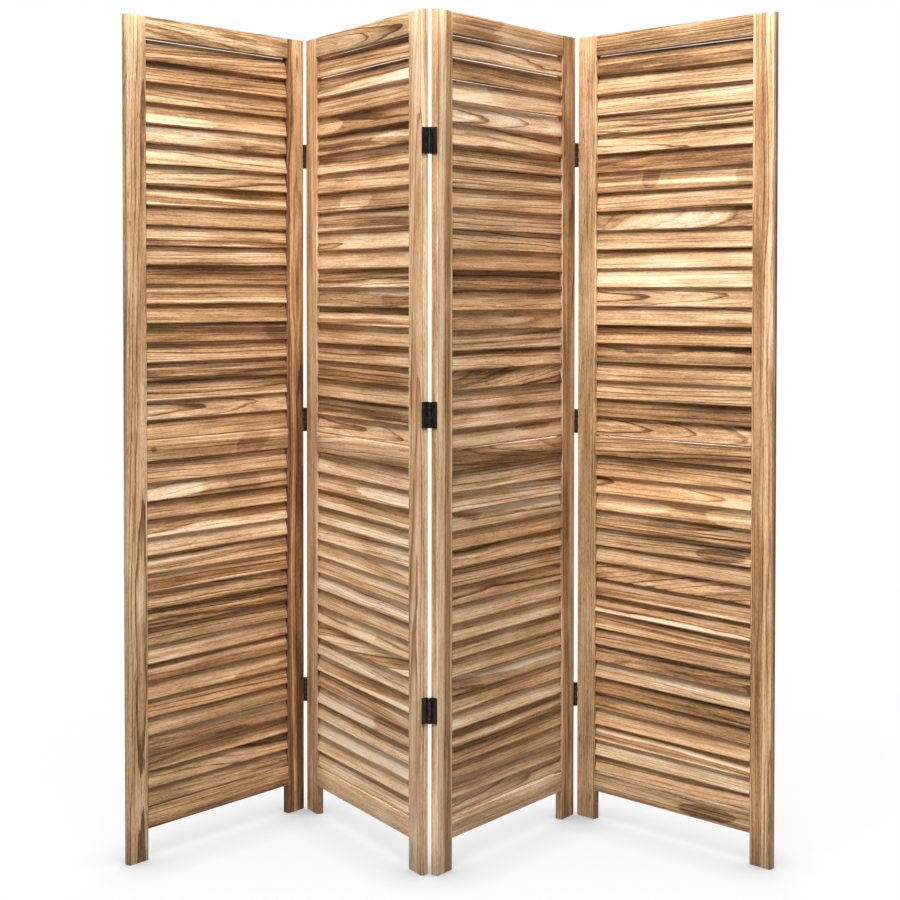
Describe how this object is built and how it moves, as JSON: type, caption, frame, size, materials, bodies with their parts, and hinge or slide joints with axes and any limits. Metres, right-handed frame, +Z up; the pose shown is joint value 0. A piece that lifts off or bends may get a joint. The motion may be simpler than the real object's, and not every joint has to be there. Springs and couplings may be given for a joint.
{
  "type": "folding slatted screen",
  "caption": "Free-standing folding room divider of hinged wooden panels, each a legged frame with two banks of louvre slats that turn on end pins.",
  "frame": {"origin": "on the floor, under the middle of the screen's outline as it stands in its zig-zag", "axes": "+X to the right along the screen, -Y towards the side the picture shows (the front), +Z up"},
  "size_m": [1.297, 0.4434, 1.7],
  "materials": {
    "frame_wood": "open-pored, satin clear finish over scorched grain",
    "slat_wood": "open-pored, satin clear finish over scorched grain",
    "hinge_steel": "satin black"
  },
  "bodies": {
    "panel_2": {"panel_2_left_stile": "frame_wood", "panel_2_right_stile": "frame_wood", "panel_2_top_rail": "frame_wood", "panel_2_mid_rail": "frame_wood", "panel_2_bottom_rail": "frame_wood", "panel_2_upper_slats": "slat_wood", "panel_2_lower_slats": "slat_wood", "hinge_1_2_top_plain_leaf": "hinge_steel", "hinge_1_2_middle_plain_leaf": "hinge_steel", "hinge_1_2_bottom_plain_leaf": "hinge_steel", "hinge_2_3_top_pin_leaf": "hinge_steel", "hinge_2_3_middle_pin_leaf": "hinge_steel", "hinge_2_3_bottom_pin_leaf": "hinge_steel"},
    "panel_1": {"panel_1_left_stile": "frame_wood", "panel_1_right_stile": "frame_wood", "panel_1_top_rail": "frame_wood", "panel_1_mid_rail": "frame_wood", "panel_1_bottom_rail": "frame_wood", "panel_1_upper_slats": "slat_wood", "panel_1_lower_slats": "slat_wood", "hinge_1_2_top_pin_leaf": "hinge_steel", "hinge_1_2_middle_pin_leaf": "hinge_steel", "hinge_1_2_bottom_pin_leaf": "hinge_steel"},
    "panel_3": {"panel_3_left_stile": "frame_wood", "panel_3_right_stile": "frame_wood", "panel_3_top_rail": "frame_wood", "panel_3_mid_rail": "frame_wood", "panel_3_bottom_rail": "frame_wood", "panel_3_upper_slats": "slat_wood", "panel_3_lower_slats": "slat_wood", "hinge_2_3_top_plain_leaf": "hinge_steel", "hinge_2_3_middle_plain_leaf": "hinge_steel", "hinge_2_3_bottom_plain_leaf": "hinge_steel", "hinge_3_4_top_pin_leaf": "hinge_steel", "hinge_3_4_middle_pin_leaf": "hinge_steel", "hinge_3_4_bottom_pin_leaf": "hinge_steel"},
    "panel_4": {"panel_4_left_stile": "frame_wood", "panel_4_right_stile": "frame_wood", "panel_4_top_rail": "frame_wood", "panel_4_mid_rail": "frame_wood", "panel_4_bottom_rail": "frame_wood", "panel_4_upper_slats": "slat_wood", "panel_4_lower_slats": "slat_wood", "hinge_3_4_top_plain_leaf": "hinge_steel", "hinge_3_4_middle_plain_leaf": "hinge_steel", "hinge_3_4_bottom_plain_leaf": "hinge_steel"},
    "panel_2_slat_1": {"panel_2_turning_slat_1": "slat_wood"},
    "panel_2_slat_2": {"panel_2_turning_slat_2": "slat_wood"},
    "panel_2_slat_3": {"panel_2_turning_slat_3": "slat_wood"},
    "panel_2_slat_4": {"panel_2_turning_slat_4": "slat_wood"},
    "panel_2_slat_5": {"panel_2_turning_slat_5": "slat_wood"},
    "panel_2_slat_6": {"panel_2_turning_slat_6": "slat_wood"},
    "panel_2_slat_7": {"panel_2_turning_slat_7": "slat_wood"},
    "panel_3_slat_1": {"panel_3_turning_slat_1": "slat_wood"},
    "panel_3_slat_2": {"panel_3_turning_slat_2": "slat_wood"},
    "panel_3_slat_3": {"panel_3_turning_slat_3": "slat_wood"},
    "panel_3_slat_4": {"panel_3_turning_slat_4": "slat_wood"},
    "panel_3_slat_5": {"panel_3_turning_slat_5": "slat_wood"},
    "panel_3_slat_6": {"panel_3_turning_slat_6": "slat_wood"},
    "panel_3_slat_7": {"panel_3_turning_slat_7": "slat_wood"}
  },
  "joints": [
    {"name": "fold_1_2", "type": "hinge", "parent": "panel_2", "child": "panel_1", "pos_m": [-0.30722, 0.21365, 0], "axis": [0, 0, -1], "range_deg": [-71.5, 108.5]},
    {"name": "fold_2_3", "type": "hinge", "parent": "panel_2", "child": "panel_3", "pos_m": [-0.03905, -0.21411, 0], "axis": [0, 0, -1], "range_deg": [-68.6, 111.4]},
    {"name": "fold_3_4", "type": "hinge", "parent": "panel_3", "child": "panel_4", "pos_m": [0.28739, 0.17103, 0], "axis": [0, 0, 1], "range_deg": [-82.9, 97.1]},
    {"name": "panel_2_slat_1_tilt", "type": "hinge", "parent": "panel_2", "child": "panel_2_slat_1", "pos_m": [-0.17313, -0.00023, 1.6326], "axis": [-0.503, 0.8643, 0], "range_deg": [-2, 135]},
    {"name": "panel_2_slat_2_tilt", "type": "hinge", "parent": "panel_2", "child": "panel_2_slat_2", "pos_m": [-0.17313, -0.00023, 1.5902], "axis": [-0.503, 0.8643, 0], "range_deg": [-2, 135]},
    {"name": "panel_2_slat_3_tilt", "type": "hinge", "parent": "panel_2", "child": "panel_2_slat_3", "pos_m": [-0.17313, -0.00023, 1.54802], "axis": [-0.503, 0.8643, 0], "range_deg": [-2, 135]},
    {"name": "panel_2_slat_4_tilt", "type": "hinge", "parent": "panel_2", "child": "panel_2_slat_4", "pos_m": [-0.17313, -0.00023, 1.50607], "axis": [-0.503, 0.8643, 0], "range_deg": [-2, 135]},
    {"name": "panel_2_slat_5_tilt", "type": "hinge", "parent": "panel_2", "child": "panel_2_slat_5", "pos_m": [-0.17313, -0.00023, 1.46433], "axis": [-0.503, 0.8643, 0], "range_deg": [-2, 135]},
    {"name": "panel_2_slat_6_tilt", "type": "hinge", "parent": "panel_2", "child": "panel_2_slat_6", "pos_m": [-0.17313, -0.00023, 1.42282], "axis": [-0.503, 0.8643, 0], "range_deg": [-2, 135]},
    {"name": "panel_2_slat_7_tilt", "type": "hinge", "parent": "panel_2", "child": "panel_2_slat_7", "pos_m": [-0.17313, -0.00023, 1.38153], "axis": [-0.503, 0.8643, 0], "range_deg": [-2, 135]},
    {"name": "panel_3_slat_1_tilt", "type": "hinge", "parent": "panel_3", "child": "panel_3_slat_1", "pos_m": [0.12417, -0.02155, 1.6326], "axis": [-0.6211, -0.7837, 0], "range_deg": [-2, 135]},
    {"name": "panel_3_slat_2_tilt", "type": "hinge", "parent": "panel_3", "child": "panel_3_slat_2", "pos_m": [0.12417, -0.02155, 1.58934], "axis": [-0.6211, -0.7837, 0], "range_deg": [-2, 135]},
    {"name": "panel_3_slat_3_tilt", "type": "hinge", "parent": "panel_3", "child": "panel_3_slat_3", "pos_m": [0.12417, -0.02155, 1.54637], "axis": [-0.6211, -0.7837, 0], "range_deg": [-2, 135]},
    {"name": "panel_3_slat_4_tilt", "type": "hinge", "parent": "panel_3", "child": "panel_3_slat_4", "pos_m": [0.12417, -0.02155, 1.50368], "axis": [-0.6211, -0.7837, 0], "range_deg": [-2, 135]},
    {"name": "panel_3_slat_5_tilt", "type": "hinge", "parent": "panel_3", "child": "panel_3_slat_5", "pos_m": [0.12417, -0.02155, 1.46128], "axis": [-0.6211, -0.7837, 0], "range_deg": [-2, 135]},
    {"name": "panel_3_slat_6_tilt", "type": "hinge", "parent": "panel_3", "child": "panel_3_slat_6", "pos_m": [0.12417, -0.02155, 1.41918], "axis": [-0.6211, -0.7837, 0], "range_deg": [-2, 135]},
    {"name": "panel_3_slat_7_tilt", "type": "hinge", "parent": "panel_3", "child": "panel_3_slat_7", "pos_m": [0.12417, -0.02155, 1.37735], "axis": [-0.6211, -0.7837, 0], "range_deg": [-2, 135]}
  ]
}
